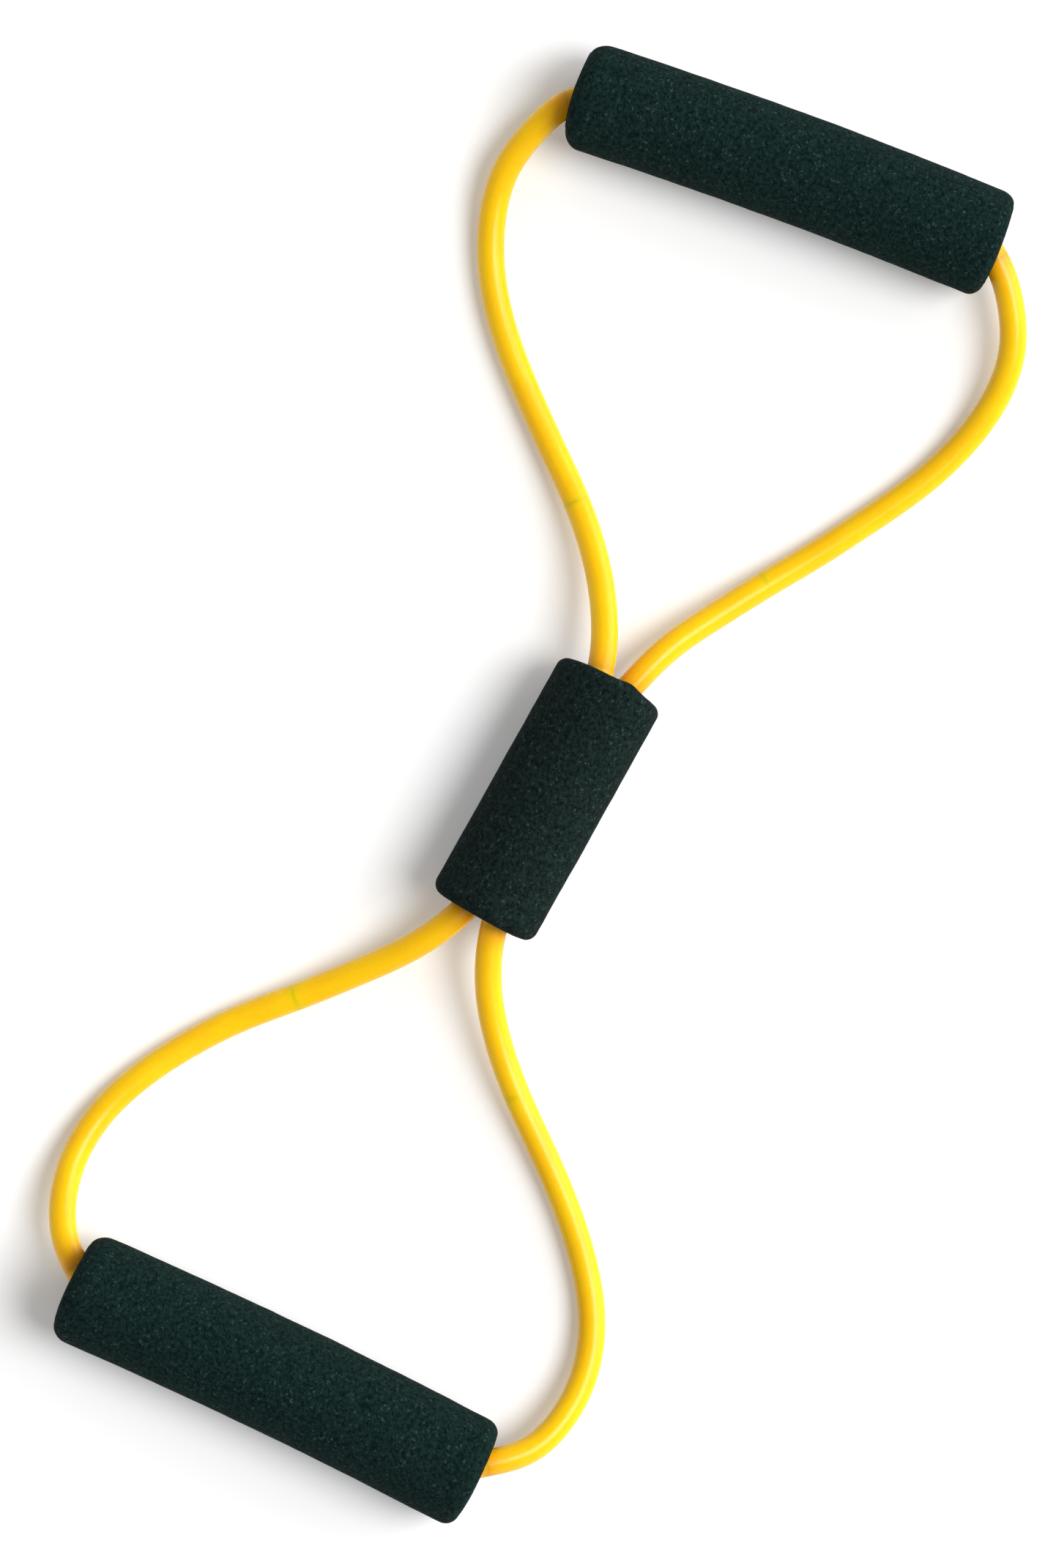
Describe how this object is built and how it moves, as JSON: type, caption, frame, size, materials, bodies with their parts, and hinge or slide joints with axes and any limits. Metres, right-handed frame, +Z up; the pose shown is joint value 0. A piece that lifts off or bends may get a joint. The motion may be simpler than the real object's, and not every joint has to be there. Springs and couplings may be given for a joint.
{
  "type": "resistance band",
  "caption": "Figure-of-eight resistance band: a loop of latex tube with a foam handle at each end, crossing itself inside a short foam sleeve.",
  "frame": {"origin": "on the surface the band lies on, under the middle of the centre sleeve", "axes": "+X from the sleeve towards the upper grip, +Z up from the surface, +Y to the left of +X"},
  "size_m": [0.4459, 0.1795, 0.035],
  "materials": {
    "foam": "matte foam rubber",
    "latex": "satin translucent latex",
    "liner": "matte",
    "plug": "satin"
  },
  "bodies": {
    "centre": {"centre_sleeve_foam": "foam", "centre_tube_over": "latex", "centre_tube_under": "latex"},
    "upper_neck": {"upper_left_tube_neck": "latex", "upper_right_tube_neck": "latex"},
    "upper_yoke": {"upper_left_tube_span": "latex", "upper_right_tube_span": "latex", "upper_grip_tube": "latex"},
    "upper_grip": {"upper_grip_foam": "foam", "upper_grip_liner": "liner"},
    "lower_neck": {"lower_left_tube_neck": "latex", "lower_right_tube_neck": "latex"},
    "lower_yoke": {"lower_left_tube_span": "latex", "lower_right_tube_span": "latex", "lower_grip_tube_left": "latex", "lower_grip_tube_right": "latex", "splice_plug": "plug"},
    "lower_grip": {"lower_grip_foam": "foam", "lower_grip_liner": "liner"}
  },
  "joints": [
    {"name": "upper_fold", "type": "hinge", "parent": "centre", "child": "upper_neck", "pos_m": [0.065, 0, 0.012], "axis": [0, -1, 0], "range_deg": [0, 90], "deforming": ["upper_left_tube_neck", "upper_right_tube_neck"]},
    {"name": "upper_stretch", "type": "slide", "parent": "upper_neck", "child": "upper_yoke", "axis": [1, 0, 0], "range_m": [0, 0.2], "stiffness_N_per_m": 150, "deforming": ["upper_left_tube_span", "upper_right_tube_span"]},
    {"name": "upper_roll", "type": "hinge", "parent": "upper_yoke", "child": "upper_grip", "pos_m": [0.208, 0.0075, 0.0168], "axis": [-0.048, 0.9988, 0], "continuous": true},
    {"name": "lower_fold", "type": "hinge", "parent": "centre", "child": "lower_neck", "pos_m": [-0.065, 0, 0.012], "axis": [0, 1, 0], "range_deg": [0, 90], "deforming": ["lower_left_tube_neck", "lower_right_tube_neck"]},
    {"name": "lower_stretch", "type": "slide", "parent": "lower_neck", "child": "lower_yoke", "axis": [-1, 0, 0], "range_m": [0, 0.2], "stiffness_N_per_m": 150, "deforming": ["lower_left_tube_span", "lower_right_tube_span"]},
    {"name": "lower_roll", "type": "hinge", "parent": "lower_yoke", "child": "lower_grip", "pos_m": [-0.1975, 0.0075, 0.0175], "axis": [0.0462, 0.9989, 0], "continuous": true}
  ]
}
